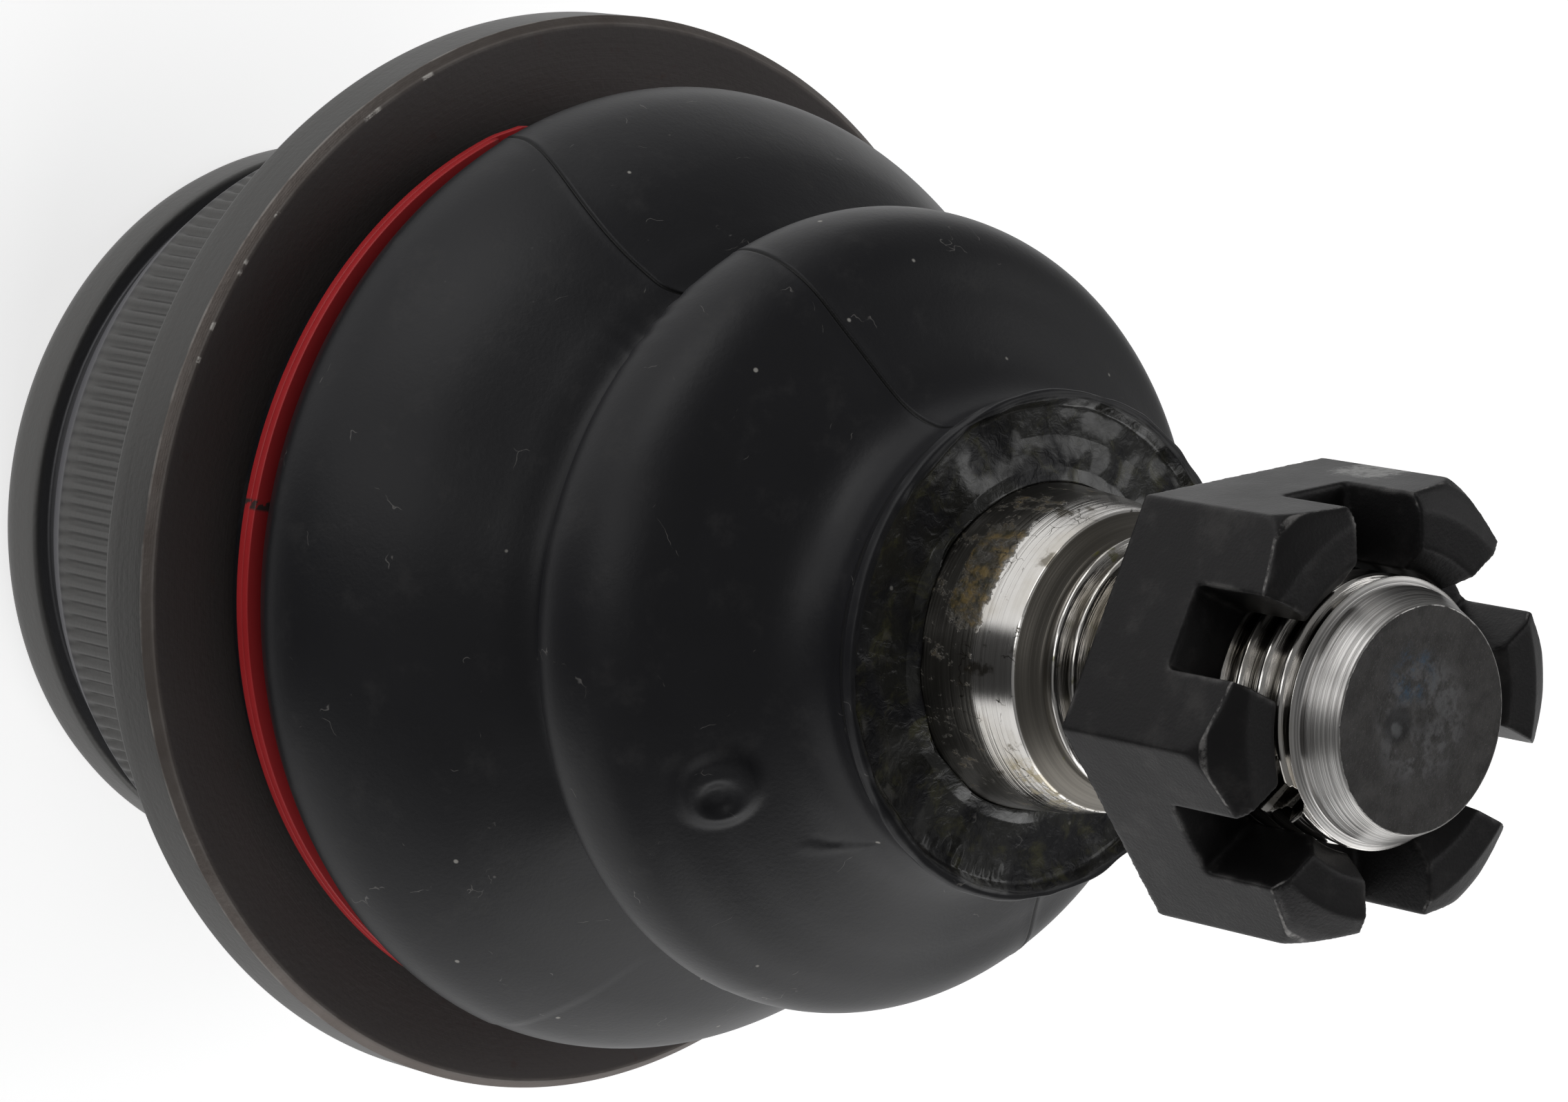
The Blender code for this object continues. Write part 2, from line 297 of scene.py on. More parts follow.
def revolve(name, outline, columns, shape=None):
    """Closed solid from an outline turned about Z.

    An outline that starts and ends on the axis is closed there; any other is a loop.
    columns is a count, or the azimuths themselves in degrees.
    shape(r, z, azimuth) may return changed r, z and azimuth.
    """
    outline = np.array(outline, float)
    r, z = outline[:, 0], outline[:, 1]
    area = np.sum(r * np.roll(z, -1) - np.roll(r, -1) * z)
    if area < 0:
        r, z = r[::-1], z[::-1]
    poles = r[0] == 0.0 and r[-1] == 0.0
    rings = slice(1, -1) if poles else slice(None)
    azimuth = columns_with(columns) if isinstance(columns, int) else columns
    columns = len(azimuth)
    grid_r, grid_az = np.meshgrid(r[rings], azimuth)
    grid_z = np.meshgrid(z[rings], azimuth)[0]
    if shape:
        grid_r, grid_z, grid_az = shape(grid_r, grid_z, grid_az)
    points = np.stack([*cartesian(grid_r, grid_az), grid_z], axis=-1)
    rows = grid_r.shape[1]
    verts = points.reshape(-1, 3)
    faces = []
    last = rows - 1 if poles else rows
    for j in range(columns):
        here, there = j * rows, (j + 1) % columns * rows
        for i in range(last):
            up = (i + 1) % rows
            faces.append((here + i, there + i, there + up, here + up))
    if poles:
        foot, top = len(verts), len(verts) + 1
        verts = np.vstack([verts, (0, 0, z[0]), (0, 0, z[-1])])
        for j in range(columns):
            here, there = j * rows, (j + 1) % columns * rows
            faces.append((foot, there, here))
            faces.append((top, here + rows - 1, there + rows - 1))
    return new_object(name, verts, faces)


def apply_modifiers(obj):
    """Replace an object's mesh by its evaluated one."""
    depsgraph = bpy.context.evaluated_depsgraph_get()
    mesh = bpy.data.meshes.new_from_object(obj.evaluated_get(depsgraph))
    obj.modifiers.clear()
    obj.data = mesh


def cut(obj, tool, operation="DIFFERENCE"):
    """Boolean with a tool, which is then removed."""
    modifier = obj.modifiers.new("cut", "BOOLEAN")
    modifier.operation = operation
    modifier.object = tool
    modifier.solver = "EXACT"
    apply_modifiers(obj)
    bpy.data.objects.remove(tool)


def store_rest(mesh):
    """Keep each vertex's place about the ball centre, in millimetres, for the shaders."""
    rest = np.zeros(len(mesh.vertices) * 3, np.float32)
    mesh.vertices.foreach_get("co", rest)
    rest = rest.reshape(-1, 3) / MM
    rest[:, 2] -= BALL_HEIGHT
    attribute = mesh.attributes.new("rest_mm", "FLOAT_VECTOR", "POINT")
    attribute.data.foreach_set("vector", rest.astype(np.float32).ravel())


def finish_piece(obj, material, node, body, other_body=None, blend_z=None):
    """Material, rest positions and ride on its body for a piece that stands for one CAD node; a piece
    given a second body is only fixed in place, with no ride.
    """
    obj.data.materials.clear()
    obj.data.materials.append(material)
    store_rest(obj.data)
    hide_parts(node)
    if other_body:
        start, end = ((0.0, 0.0, (z + BALL_HEIGHT) * MM) for z in blend_z)
        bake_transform(obj)
    else:
        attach(obj, body)


# ---- shader building


class Value:
    """A number that varies over a surface; sums, products and the greater (|) make math nodes."""

    def __init__(self, shader, socket):
        self.shader, self.socket = shader, socket

    def __add__(self, other):
        return self.shader.math("ADD", self, other)

    def __sub__(self, other):
        return self.shader.math("SUBTRACT", self, other)

    def __mul__(self, other):
        return self.shader.math("MULTIPLY", self, other)

    def __or__(self, other):
        return self.shader.math("MAXIMUM", self, other)

    def __abs__(self):
        return self.shader.math("ABSOLUTE", self)

    def span(self, low, high):
        """0 below low, 1 above high, smooth between; low may exceed high."""
        node = self.shader.node("MapRange", interpolation_type="SMOOTHSTEP")
        foot, top = (1.0, 0.0) if low > high else (0.0, 1.0)
        ends = {"From_Min": min(low, high), "From_Max": max(low, high), "To_Min": foot, "To_Max": top}
        self.shader.set_inputs(node, Value=self, **ends)
        return Value(self.shader, node.outputs["Result"])

    def band(self, low, high, soft):
        """1 between low and high."""
        return self.span(low - soft, low) * self.span(high + soft, high)


class Shader:
    """Builds one Principled material from small steps on the rest position."""

    def __init__(self, name):
        self.material = bpy.data.materials.new(name)
        self.material.use_nodes = True
        self.tree = self.material.node_tree
        self.surface = self.tree.nodes["Principled BSDF"]
        self.rest = self.node("Attribute", attribute_name="rest_mm").outputs["Vector"]
        split = self.node("SeparateXYZ")
        self.feed(split.inputs[0], self.rest)
        self.x, self.y, self.z = (Value(self, socket) for socket in split.outputs)
        self.radius = self.math("SQRT", self.x * self.x + self.y * self.y)
        self.azimuth = self.math("ARCTAN2", self.y, self.x) * math.degrees(1.0)

    def node(self, kind, **settings):
        node = self.tree.nodes.new("ShaderNode" + kind)
        for name, setting in settings.items():
            setattr(node, name, setting)
        return node

    def feed(self, socket, value):
        """Link or set an input."""
        if isinstance(value, Value):
            value = value.socket
        if isinstance(value, bpy.types.NodeSocket):
            self.tree.links.new(value, socket)
        elif isinstance(value, tuple) and socket.type == "RGBA":
            socket.default_value = (*value, 1.0)
        else:
            socket.default_value = value

    def set_inputs(self, node, **inputs):
        """Feed inputs by their names, with underscores for spaces."""
        for name, value in inputs.items():
            self.feed(node.inputs[name.replace("_", " ")], value)

    def math(self, operation, *values):
        node = self.node("Math", operation=operation)
        for socket, value in zip(node.inputs, values):
            self.feed(socket, value)
        return Value(self, node.outputs[0])

    def placed(self, seed, skew=(1.0, 1.3, 0.7), stretch=(1.0, 1.0, 1.0)):
        """Rest position moved by an amount that depends on the seed, and stretched."""
        node = self.node("Mapping")
        moved = tuple(seed * s for s in skew)
        self.set_inputs(node, Vector=self.rest, Location=moved, Scale=tuple(1.0 / s for s in stretch))
        return node.outputs[0]

    def texture(self, kind, place, size, **settings):
        """Texture node with lumps about size across."""
        node = self.node(kind, **settings)
        self.set_inputs(node, Vector=place, Scale=1.0 / size)
        return node

    def noise(self, size, detail=3.0, roughness=0.55, stretch=(1.0, 1.0, 1.0), seed=0.0, warp=0.0):
        """Noise from 0 to 1 whose lumps are about size across, longer where stretch is over 1."""
        node = self.texture("TexNoise", self.placed(seed, (1.0, 1.7, 2.3), stretch), size)
        self.set_inputs(node, Detail=detail, Roughness=roughness, Distortion=warp)
        return Value(self, node.outputs["Fac"])

    def distance(self, place):
        """Distance from the line parallel to the axis through place (x, y)."""
        off_x, off_y = self.x - place[0], self.y - place[1]
        return self.math("SQRT", off_x * off_x + off_y * off_y)

    def rings(self, size, detail=2.0, seed=0.0):
        """Noise that changes only along the axis, as turning marks do."""
        along = self.node("CombineXYZ")
        self.set_inputs(along, X=self.radius, Y=seed, Z=self.z)
        node = self.texture("TexNoise", along.outputs[0], size)
        self.set_inputs(node, Detail=detail)
        return Value(self, node.outputs["Fac"])

    def specks(self, size, seed=0.0):
        """Distance to scattered points, in units of size."""
        node = self.texture("TexVoronoi", self.placed(seed), size)
        return Value(self, node.outputs["Distance"])

    def cracks(self, size, width, seed=0.0):
        """Thin meandering lines, 1 on the line."""
        place = self.placed(seed)
        wobble = self.texture("TexNoise", place, size / 1.5)
        self.set_inputs(wobble, Detail=4.0)
        shift = self.node("VectorMath", operation="MULTIPLY_ADD")
        for socket, value in zip(shift.inputs, (wobble.outputs["Color"], (size,) * 3, place)):
            self.feed(socket, value)
        node = self.texture("TexVoronoi", shift.outputs[0], size, feature="DISTANCE_TO_EDGE")
        return Value(self, node.outputs["Distance"]).span(width / size, 0.0)

    def edges(self, radius, spread=0.35):
        """1 on sharp convex edges, from the difference of a rounded normal and the true one."""
        soft = self.node("Bevel", samples=6)
        self.set_inputs(soft, Radius=radius * MM)
        dot = self.node("VectorMath", operation="DOT_PRODUCT")
        self.feed(dot.inputs[0], soft.outputs[0])
        self.feed(dot.inputs[1], self.node("NewGeometry").outputs["Normal"])
        return Value(self, dot.outputs["Value"]).span(1.0, 1.0 - spread)

    def colour(self, factor, first, second):
        """First colour where the factor is 0, second where it is 1."""
        node = self.node("Mix", data_type="RGBA")
        for i, value in zip((0, 6, 7), (factor, first, second)):
            self.feed(node.inputs[i], value)
        return node.outputs[2]

    def paint(self, mask, tone):
        """Lay a tone over the base colour where the mask is 1."""
        self.base = self.colour(mask, self.base, tone)

    def mix(self, factor, first, second):
        """First value where the factor is 0, second where it is 1."""
        node = self.node("Mix")
        for i, value in zip((0, 2, 3), (factor, first, second)):
            self.feed(node.inputs[i], value)
        return Value(self, node.outputs[0])

    def bump(self, height, depth, normal=None):
        """Relief of the given depth where height goes from 0 to 1."""
        node = self.node("Bump")
        self.set_inputs(node, Distance=depth * MM, Height=height)
        if normal is not None:
            self.set_inputs(node, Normal=normal)
        return node.outputs[0]

    def finish(self, **inputs):
        """Set the Principled inputs and return the material."""
        self.set_inputs(self.surface, Base_Color=self.base, **inputs)
        return self.material


# ---- materials


def housing_steel():
    """Dark oiled forging: brown-black face, grey turned side, worn bevel and edges."""
    s = Shader("housing_steel")
    cloud = s.noise(9.0, 5.0)
    grain = s.noise(0.35, 3.0, seed=4.0)
    bevel_r, bevel_z = FLANGE_R - FLANGE_BEVEL, FLANGE_Z - FLANGE_BEVEL
    on_face = s.z.span(FLANGE_Z - 0.15, FLANGE_Z - 0.02) * s.radius.span(FLANGE_R, bevel_r - 0.05)
    on_bevel = s.z.band(bevel_z - 0.02, FLANGE_Z - 0.02, 0.05) * s.radius.span(bevel_r - 0.3, bevel_r)
    grey = s.colour(cloud, (0.064, 0.063, 0.061), (0.086, 0.084, 0.081))
    face = s.colour(cloud, (0.046, 0.039, 0.038), (0.06, 0.052, 0.05))
    rust = s.noise(1.6, 7.0, 0.7, seed=31.0).span(0.6, 0.74)
    face = s.colour(rust * 0.5, face, (0.05, 0.024, 0.019))
    bevel = s.colour(s.noise(3.0, seed=9.0), (0.085, 0.068, 0.06), (0.15, 0.135, 0.125))
    behind = s.z.span(FLANGE_Z - FLANGE_THICKNESS - 0.1, FLANGE_Z - FLANGE_THICKNESS - 0.4)
    grey = s.colour(behind, grey, s.colour(cloud, (0.078, 0.077, 0.075), (0.104, 0.102, 0.099)))
    s.base = s.colour(on_bevel, s.colour(on_face, grey, face), bevel)
    wear = s.edges(0.3) * s.noise(2.2, 6.0, seed=2.0).span(0.56, 0.72)
    corner = s.radius.band(bevel_r - 0.12, bevel_r + 0.04, 0.05) * s.z.span(FLANGE_Z - 0.3, FLANGE_Z - 0.2)
    rim_line = s.z.band(bevel_z - 0.1, bevel_z + 0.02, 0.04) * s.radius.span(bevel_r, bevel_r + 0.2)
    line = (corner * 0.3 | rim_line) * s.noise(2.5, 6.0, seed=13.0).span(0.42, 0.6)
    s.paint(line * 0.5, (0.26, 0.245, 0.23))
    chips = s.noise(0.6, 6.0, 0.7, seed=3.0).span(0.44, 0.56) * corner
    places = [abs(s.azimuth - azimuth).span(half, 0.5 * half) for azimuth, half in FLANGE_CHIPS]
    chips = chips * functools.reduce(operator.or_, places)
    bright = wear * 0.5 | chips
    s.paint(bright, (0.5, 0.48, 0.45))
    dark_groove = s.radius.span(RIM_R - 0.1, RIM_R - 0.6) * s.z.band(*GROOVE_Z, 0.3)
    s.paint(dark_groove, (0.095, 0.095, 0.1))
    bluish = s.z.span(RIB_START_Z + 0.4, RIB_START_Z - 0.4) * s.radius.span(21.6, 22.3)
    bluish = bluish * s.z.span(GROOVE_Z[0] + 0.1, GROOVE_Z[1])
    s.paint(bluish, (0.052, 0.051, 0.06))
    rough = s.mix(cloud, 0.42, 0.58)
    rough = s.mix(bright, rough, 0.3)
    rough = s.mix(on_face, rough, 0.62)
    metallic = s.mix(on_face, 0.75, 0.25)
    normal = s.bump(s.rings(0.12, seed=5.0), 0.01)
    normal = s.bump(grain, 0.025, normal)
    return s.finish(Metallic=metallic, Roughness=rough, Normal=normal)


def pressed_steel():
    """Zinc-grey pressed cover with a fine grain and light scratches."""
    s = Shader("end_cap_steel")
    cloud = s.noise(6.0, 4.0, seed=7.0)
    s.base = s.colour(cloud, (0.075, 0.073, 0.07), (0.14, 0.135, 0.13))
    scratches = s.noise(0.4, stretch=(12.0, 1.0, 1.0), seed=1.0).span(0.62, 0.7)
    s.paint(scratches * 0.5, (0.3, 0.29, 0.28))
    normal = s.bump(s.noise(0.25, seed=6.0), 0.015)
    return s.finish(Metallic=0.85, Roughness=s.mix(cloud, 0.35, 0.55), Normal=normal)


def spring_steel():
    """Hardened and tempered disc spring."""
    s = Shader("spring_steel")
    cloud = s.noise(5.0, seed=8.0)
    s.base = s.colour(cloud, (0.16, 0.15, 0.16), (0.26, 0.23, 0.2))
    normal = s.bump(s.rings(0.1, seed=2.0), 0.01)
    return s.finish(Metallic=1.0, Roughness=s.mix(cloud, 0.25, 0.4), Normal=normal)


def bearing_plastic():
    """Cream moulded acetal, wetted with grease."""
    s = Shader("bearing_plastic")
    cloud = s.noise(4.0, seed=3.0)
    grease = s.noise(3.0, 4.0, seed=5.0).span(0.5, 0.62)
    s.base = s.colour(cloud, (0.66, 0.63, 0.53), (0.74, 0.71, 0.62))
    s.paint(grease * 0.7, (0.32, 0.27, 0.1))
    normal = s.bump(s.noise(0.5, seed=2.0), 0.01)
    return s.finish(Roughness=s.mix(grease, 0.45, 0.15), Subsurface_Weight=0.05, Normal=normal)


def paint_grease(s, film, turned):
    """Black grease, thick next to the boot and thinning out along the taper; returns two masks."""
    wet_edge = s.z + (film - 0.5) * 0.9
    wet = wet_edge.span(TAPER_CHAMFER_Z + 0.1, TAPER_CHAMFER_Z - 0.2)
    in_band = wet * s.z.span(45.0, 46.0)
    patch = s.z.band(50.2, TAPER_CHAMFER_Z, 0.7) * s.azimuth.band(-114.0, -84.0, 16.0)
    patch = patch * 0.95 | s.z.band(48.6, TAPER_CHAMFER_Z - 0.2, 0.4) * 0.42
    tatter = s.noise(0.9, 8.0, 0.7, stretch=(1.0, 1.0, 1.4), seed=21.0)
    ragged = (tatter - 0.5) * 3.2 + patch
    amber = ragged.span(0.55, 1.1) * patch.span(0.0, 0.2)
    s.base = s.colour(in_band, s.base, s.colour(turned, (0.095, 0.09, 0.08), (0.26, 0.25, 0.23)))
    stain = s.noise(0.7, 6.0, 0.65, seed=25.0).span(0.38, 0.62)
    stained = s.colour(stain, (0.026, 0.024, 0.012), (0.2, 0.14, 0.05))
    s.paint(amber * 0.9, stained)
    return in_band, amber


def paint_dried_film(s):
    """Hairline cracks and patches on the taper, a long crack and a yellow smear; returns the smear."""
    on_taper = s.z.band(51.5, TAPER_TOP_Z, 0.3)
    lines = s.cracks(1.5, 0.04, seed=5.0) * s.noise(2.2, seed=13.0).span(0.5, 0.58)
    s.paint(lines * on_taper, (0.05, 0.045, 0.035))
    patches = s.noise(1.6, 6.0, seed=31.0).span(0.58, 0.68) * on_taper
    s.paint(patches * 0.75, (0.09, 0.075, 0.045))
    path = s.azimuth * 0.05 + 55.5
    wander = (s.noise(1.0, 5.0, seed=35.0) - 0.5) * 1.2
    off = abs(s.z - path - wander)
    crack = off.span(0.06, 0.03) * s.azimuth.band(-34.0, -4.0, 2.0)
    s.paint(crack * on_taper, (0.05, 0.042, 0.03))
    smear = s.z.band(53.5, 54.7, 0.6) * s.azimuth.band(-24.0, 6.0, 10.0)
    smear = smear * s.noise(0.9, 6.0, 0.7, seed=37.0).span(0.44, 0.58)
    s.paint(smear * 0.8, (0.4, 0.34, 0.21))
    return smear


def paint_thread(s, film, turned):
    """Dark neck below the thread and grease in its roots."""
    start, stop = THREAD_Z
    neck = s.z.band(TAPER_TOP_Z + 0.12, start + 0.1, 0.06)
    s.paint(neck * 0.95, s.colour(turned, (0.04, 0.036, 0.03), (0.15, 0.138, 0.118)))
    threaded = s.z.band(start, stop - 0.1, 0.1)
    roots = threaded * s.radius.span(THREAD_R - 0.2, THREAD_R - 0.6)
    s.paint(roots * s.mix(film, 0.5, 1.0), (0.045, 0.038, 0.025))
    green = threaded * s.noise(1.1, seed=41.0).span(0.62, 0.7) * s.z.span(62.0, 60.0)
    s.paint(green * 0.6, (0.14, 0.14, 0.02))


def paint_end_face(s):
    """Phosphated end face with its centre mark, painted shade in the mark's dent and a painted highlight
    beside it; returns its mask.
    """
    edge = s.noise(0.5, 4.0, seed=27.0) * -0.25 + (STUD_END_R + 0.1)
    on_end = s.z.span(STUD_END_Z - 0.75, STUD_END_Z - 0.6) * (edge - s.radius).span(0.0, 0.06)
    shaft = s.base
    cloud = s.noise(1.2, 8.0, 0.7, seed=17.0).span(0.35, 0.65)
    s.base = s.colour(cloud, (0.03, 0.028, 0.027), (0.06, 0.057, 0.055))
    grit = s.noise(0.12, 2.0, seed=71.0).span(0.6, 0.72)
    s.paint(grit * 0.5, (0.14, 0.135, 0.13))
    blotches = s.noise(0.8, 7.0, 0.65, seed=81.0).span(0.42, 0.62)
    s.paint(s.radius.band(1.2, 2.4, 1.4) * blotches * 0.6, (0.15, 0.15, 0.155))
    # painted shade: a darker disc laid over the dent of the centre mark
    s.paint(s.distance(PIT_AT).span(1.25, 0.7) * 0.75, (0.014, 0.014, 0.015))
    # painted highlight: a pale spot just off the dent's centre, standing in for a glint
    painted_glint = s.distance((0.95, -1.35)) + s.noise(0.5, seed=91.0) * 0.5
    s.paint(painted_glint.span(0.75, 0.45) * 0.5, (0.19, 0.195, 0.2))
    blue = s.noise(0.9, 9.0, 0.8, seed=58.0).span(0.46, 0.64) * s.distance((-1.9, -1.6)).span(2.0, 0.8)
    s.paint(blue * 0.6, (0.035, 0.11, 0.2))
    s.base = s.colour(on_end, shaft, s.base)
    return on_end


def stud_steel():
    """Turned steel: greasy dark band by the boot, bright taper and thread, dark phosphate end."""
    s = Shader("stud_steel")
    turned = s.rings(0.22, detail=3.0)
    grooved = s.math("SINE", s.z * (2 * math.pi / TURNING_PITCH)) * 0.5 + 0.5
    fine = s.rings(0.07, seed=3.0)
    film = s.noise(2.6, 6.0, 0.62, stretch=(1.0, 1.0, 1.3), seed=11.0)
    s.base = s.colour(turned, (0.52, 0.5, 0.475), (0.8, 0.785, 0.76))
    haze = s.noise(5.0, 4.0, seed=6.0).span(0.45, 0.65)
    s.paint(haze * 0.45, (0.42, 0.38, 0.31))
    in_band, amber = paint_grease(s, film, turned)
    smear = paint_dried_film(s)
    paint_thread(s, film, turned)
    pilot_rings = s.rings(0.1, seed=9.0).span(0.4, 0.6)
    on_pilot = s.z.span(THREAD_Z[1], THREAD_Z[1] + 0.3)
    s.paint(on_pilot * 0.85, s.colour(pilot_rings, (0.26, 0.255, 0.25), (0.52, 0.51, 0.5)))
    on_end = paint_end_face(s)
    metallic = s.mix(amber, 1.0, 0.35)
    metallic = s.mix(on_end, metallic, 0.4)
    rough = s.mix(turned, 0.11, 0.2)
    at_neck = s.z.band(TAPER_TOP_Z + 0.1, THREAD_Z[0] + 0.1, 0.1)
    duller = ((in_band, 0.34), (amber | smear, 0.3), (on_pilot, 0.34), (at_neck, 0.42), (on_end, 0.55))
    for mask, level in duller:
        rough = s.mix(mask, rough, level)
    normal = s.bump(turned, 0.018)
    normal = s.bump(grooved * s.z.band(50.6, 54.5, 0.5), 0.004, normal)
    normal = s.bump(fine * s.mix(on_pilot, 0.3, 1.0), 0.03, normal)
    normal = s.bump(amber * film, 0.1, normal)
    normal = s.bump(on_end * s.noise(0.16, 4.0, 0.7, seed=61.0), 0.08, normal)
    s.set_inputs(s.surface, Coat_Weight=s.mix(in_band, 0.0, 0.15), Coat_Roughness=0.12)
    return s.finish(Metallic=metallic, Roughness=rough, Normal=normal)


def nut_phosphate():
    """Black phosphate with an oily sheen, rubbed grey at the edges."""
    s = Shader("nut_phosphate")
    cloud = s.noise(5.0, 5.0, seed=3.0)
    s.base = s.colour(cloud, (0.011, 0.0105, 0.011), (0.0195, 0.0188, 0.0192))
    scuffs = s.noise(2.6, 7.0, 0.65, seed=12.0).span(0.5, 0.74)
    s.paint(scuffs * 0.25, (0.08, 0.076, 0.073))
    wear = s.edges(0.6, 0.16) * s.noise(1.8, 6.0, seed=19.0).span(0.46, 0.66)
    slope = math.tan(math.radians(30))
    under_crown = (s.radius - NUT_CROWN_R) * -slope + NUT_TOP_Z - s.z
    rim = under_crown.band(0.14, 0.22, 0.06) * s.radius.span(NUT_CROWN_R, NUT_CROWN_R + 0.4)
    rim = rim * s.noise(1.1, 7.0, 0.7, seed=39.0).span(0.4, 0.62)
    s.paint((wear | rim * 0.7) * 0.7, (0.33, 0.32, 0.31))
    place = s.x.span(-10.2, -11.8) * s.z.band(NUT_SEAT_Z + 4.0, NUT_SEAT_Z + 5.5, 3.0)
    place = place * s.y.band(-2.5, -0.5, 3.0)
    rubbed = (s.noise(0.5, 8.0, 0.75) + place * 0.5).span(0.78, 1.05)
    s.paint(rubbed * 0.7, (0.3, 0.3, 0.29))
    normal = s.bump(s.noise(0.18, 4.0, seed=23.0), 0.02)
    normal = s.bump(s.noise(1.5, 3.0, seed=29.0), 0.02, normal)
    rough = s.mix(cloud, 0.38, 0.55)
    return s.finish(Metallic=0.6, Roughness=rough, Specular_IOR_Level=0.3, Normal=normal)


def boot_rubber():
    """Satin black rubber with dust and lint, a dark parting line, and greasy lip."""
    s = Shader("boot_rubber")
    cloud = s.noise(7.0, 5.0, seed=2.0)
    s.base = s.colour(cloud, (0.008, 0.008, 0.0095), (0.0125, 0.0125, 0.0145))
    dust = s.noise(3.0, 8.0, 0.7, seed=9.0).span(0.52, 0.75) * 0.16
    s.paint(dust, (0.075, 0.072, 0.07))
    motes = s.specks(3.4, seed=7.0).span(0.05, 0.025)
    s.paint(motes, (0.3, 0.29, 0.27))
    lint = s.cracks(7.0, 0.035, seed=3.0) * s.noise(2.0, seed=33.0).span(0.6, 0.66)
    s.paint(lint * 0.5, (0.22, 0.21, 0.2))

    # parting lines
    strays = s.z.span(17.0, 27.0) * s.z.span(31.0, 28.0)
    for azimuth, shift in SEAMS:
        off = abs(s.azimuth - azimuth - strays * shift) * s.radius * math.radians(1.0)
        s.paint(off.span(0.13, 0.06) * s.z.band(*SEAM_Z, 0.5), (0.003, 0.003, 0.003))

    # grease on the lip's face
    on_lip = s.z.span(LIP_Z - 1.8, LIP_Z - 1.0) * s.radius.span(LIP_FACE_R + 0.35, LIP_FACE_R - 0.1)
    film = s.noise(3.0, 3.0, 0.45, seed=14.0, warp=0.4)
    greasy = on_lip * film.span(0.4, 0.55)
    olive = on_lip * s.noise(1.8, 8.0, 0.7, seed=44.0, warp=0.6).span(0.51, 0.68)
    s.paint(greasy, (0.016, 0.016, 0.014))
    s.paint(olive * 0.65, (0.06, 0.058, 0.024))
    foot_shine = s.z.band(10.0, 13.5, 0.3)
    rough = s.mix(cloud, 0.37, 0.47)
    rough = s.mix(dust | motes, rough, 0.7)
    rough = s.mix(greasy, rough, 0.24)
    rough = s.mix(foot_shine, rough, 0.35)
    normal = s.bump(s.noise(0.22, 3.0, seed=5.0), 0.01)
    normal = s.bump(s.noise(1.3, 2.0, seed=6.0), 0.012, normal)
    normal = s.bump(film * on_lip, 0.24, normal)
    normal = s.bump(s.noise(0.7, 5.0, seed=55.0, warp=0.8) * on_lip, 0.13, normal)
    s.set_inputs(s.surface, Coat_Weight=s.mix(greasy, 0.0, 0.6), Coat_Roughness=0.12)
    return s.finish(Roughness=rough, Normal=normal, Specular_IOR_Level=0.25)


def ring_red():
    """Red coated spring strip, chipped to dark steel in a few places."""
    s = Shader("ring_red_coat")
    cloud = s.noise(3.0, 4.0, seed=4.0)
    s.base = s.colour(cloud, (0.37, 0.017, 0.02), (0.47, 0.026, 0.03))
    top = RING_TOP_Z + RING_LIFT
    front = s.z.span(top - 0.1, top - 0.03) * s.radius.span(RING_R - 0.05, RING_R - 0.15)
    s.paint(front, (0.4, 0.027, 0.03))
    nick = s.azimuth.band(-76.6, -75.8, 0.4) * s.noise(0.5, seed=8.0).span(0.45, 0.55)
    chips = s.edges(0.12) * s.noise(1.5, 5.0, seed=18.0).span(0.66, 0.72)
    s.paint(nick | chips, (0.05, 0.035, 0.033))
    rough = s.mix(cloud, 0.36, 0.48)
    normal = s.bump(s.noise(0.4, 3.0, seed=2.0), 0.008)
    s.set_inputs(s.surface, Coat_Weight=0.06, Coat_Roughness=0.2)
    return s.finish(Roughness=rough, Normal=normal, Specular_IOR_Level=0.35)


def collar_steel():
    """Flat spring wire."""
    s = Shader("collar_steel")
    drawn = s.noise(0.3, stretch=(1.0, 1.0, 0.1), seed=2.0)
    s.base = s.colour(drawn, (0.3, 0.3, 0.3), (0.48, 0.47, 0.46))
    return s.finish(Metallic=1.0, Roughness=0.35, Normal=s.bump(drawn, 0.01))


# ---- pieces


